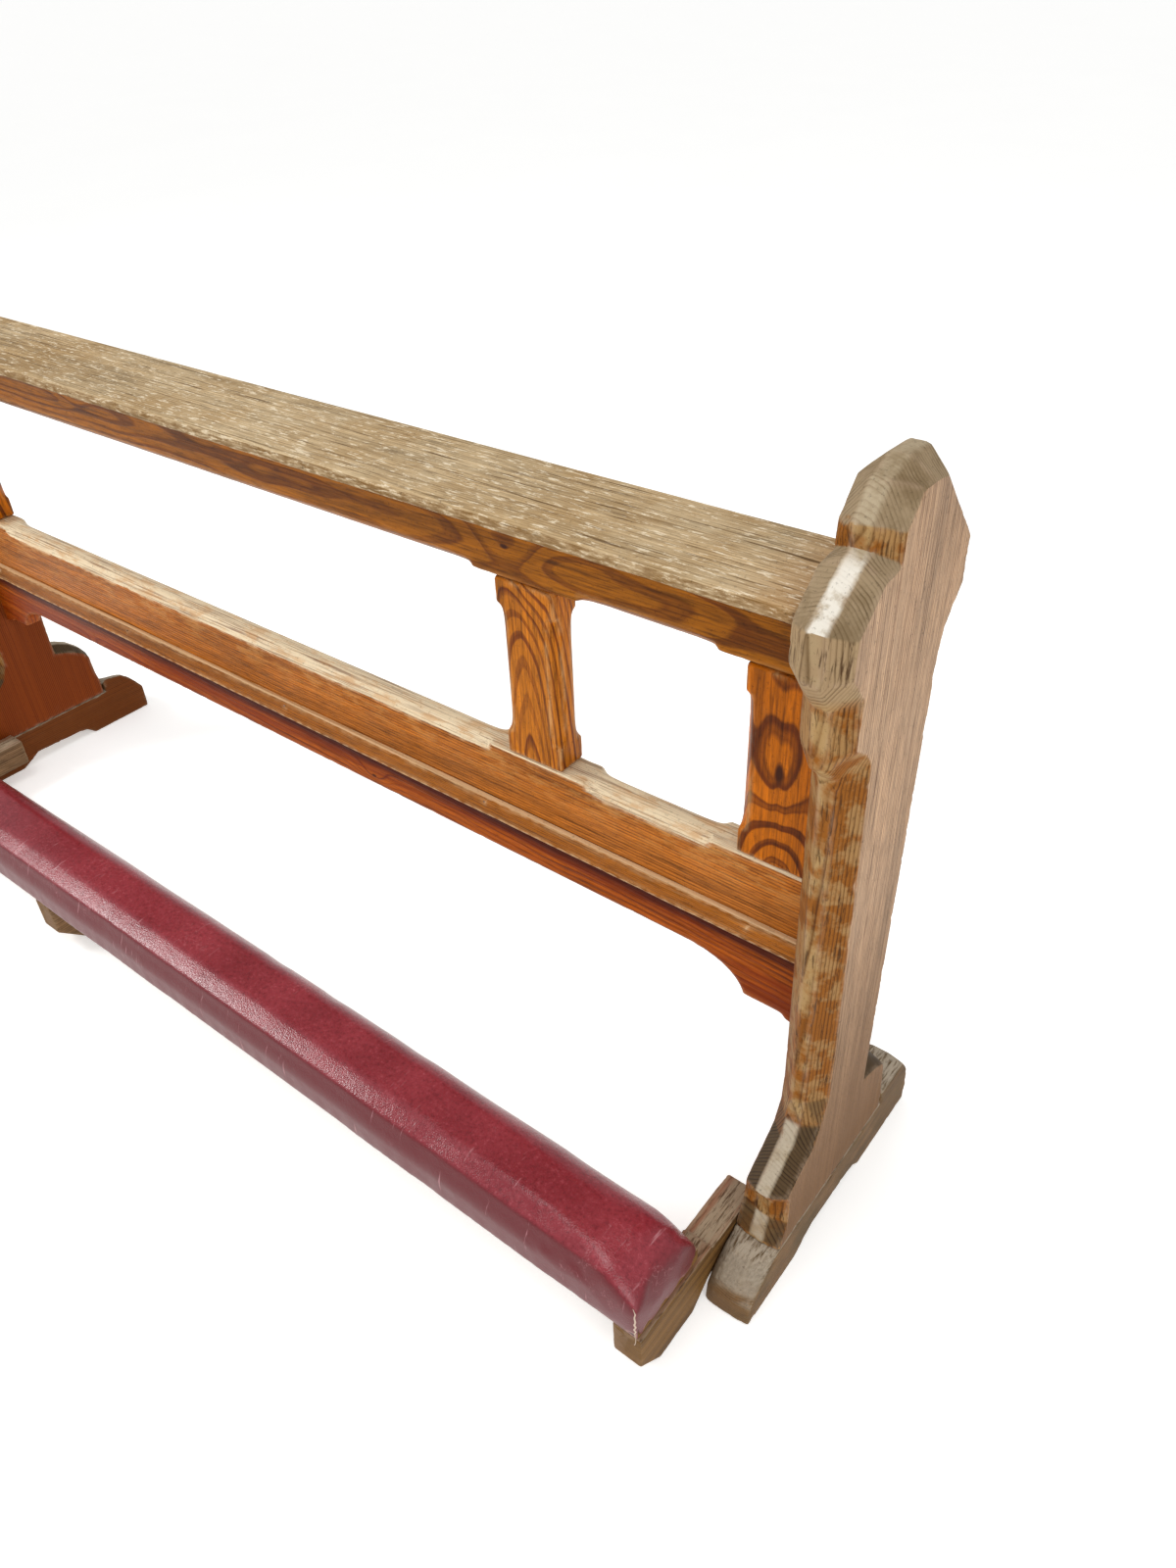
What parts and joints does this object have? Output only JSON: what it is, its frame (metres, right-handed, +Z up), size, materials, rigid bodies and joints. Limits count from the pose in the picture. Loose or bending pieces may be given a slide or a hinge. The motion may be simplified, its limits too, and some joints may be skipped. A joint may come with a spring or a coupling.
{
  "type": "kneeling bench",
  "caption": "Long pine kneeling bench with shaped ends, a flat book rest, an open rail back and a padded kneeler that tilts up on pivots.",
  "frame": {"origin": "centre of the bounding box in plan, on the floor plane", "axes": "+X along the bench, +Y from the kneeler to the rear heels, +Z up"},
  "size_m": [1.642, 0.495, 0.8965],
  "materials": {
    "weathered_pine": "bleached, worn and cracked pine with flecks of old varnish",
    "end_pine": "worn pine, straight grain, weathered grey-brown at the cap and edges",
    "foot_pine": "dark worn pine",
    "varnished_pine": "orange-brown varnished pitch pine with bold figure",
    "apron_pine": "deep orange varnished pine, scratched",
    "bearer_pine": "unfinished brown pine, worn",
    "leatherette": "burgundy leathercloth with a fine grain, scratched and dusty",
    "steel": "dull steel"
  },
  "bodies": {
    "frame": {"apron": "apron_pine", "book_rest": "weathered_pine", "end_board_left": "end_pine", "end_board_right": "end_pine", "foot_left": "foot_pine", "foot_right": "foot_pine", "lower_rail": "varnished_pine", "moulding": "varnished_pine", "moulding_pin_1": "steel", "moulding_pin_2": "steel", "moulding_pin_3": "steel", "moulding_pin_4": "steel", "moulding_pin_5": "steel", "muntin": "varnished_pine", "pivot_pin_left": "steel", "pivot_pin_right": "steel", "rest_dowel_left": "bearer_pine", "rest_dowel_right": "bearer_pine", "rest_nail_1": "steel", "rest_nail_2": "steel", "rest_nail_3": "steel", "rest_nail_4": "steel", "stile_left": "varnished_pine", "stile_right": "varnished_pine", "upper_rail": "varnished_pine"},
    "kneeler": {"board_screw_arm_left_1": "steel", "board_screw_arm_left_2": "steel", "board_screw_arm_right_1": "steel", "board_screw_arm_right_2": "steel", "board_screw_middle_1": "steel", "board_screw_middle_2": "steel", "kneeler_arm_left": "bearer_pine", "kneeler_arm_right": "bearer_pine", "kneeler_bearer_middle": "bearer_pine", "kneeler_board": "bearer_pine", "kneeler_pad": "leatherette"}
  },
  "joints": [
    {"name": "kneeler_tilt", "type": "hinge", "parent": "frame", "child": "kneeler", "pos_m": [0, -0.0505, 0.0545], "axis": [-1, 0, 0], "range_deg": [0, 90]}
  ]
}
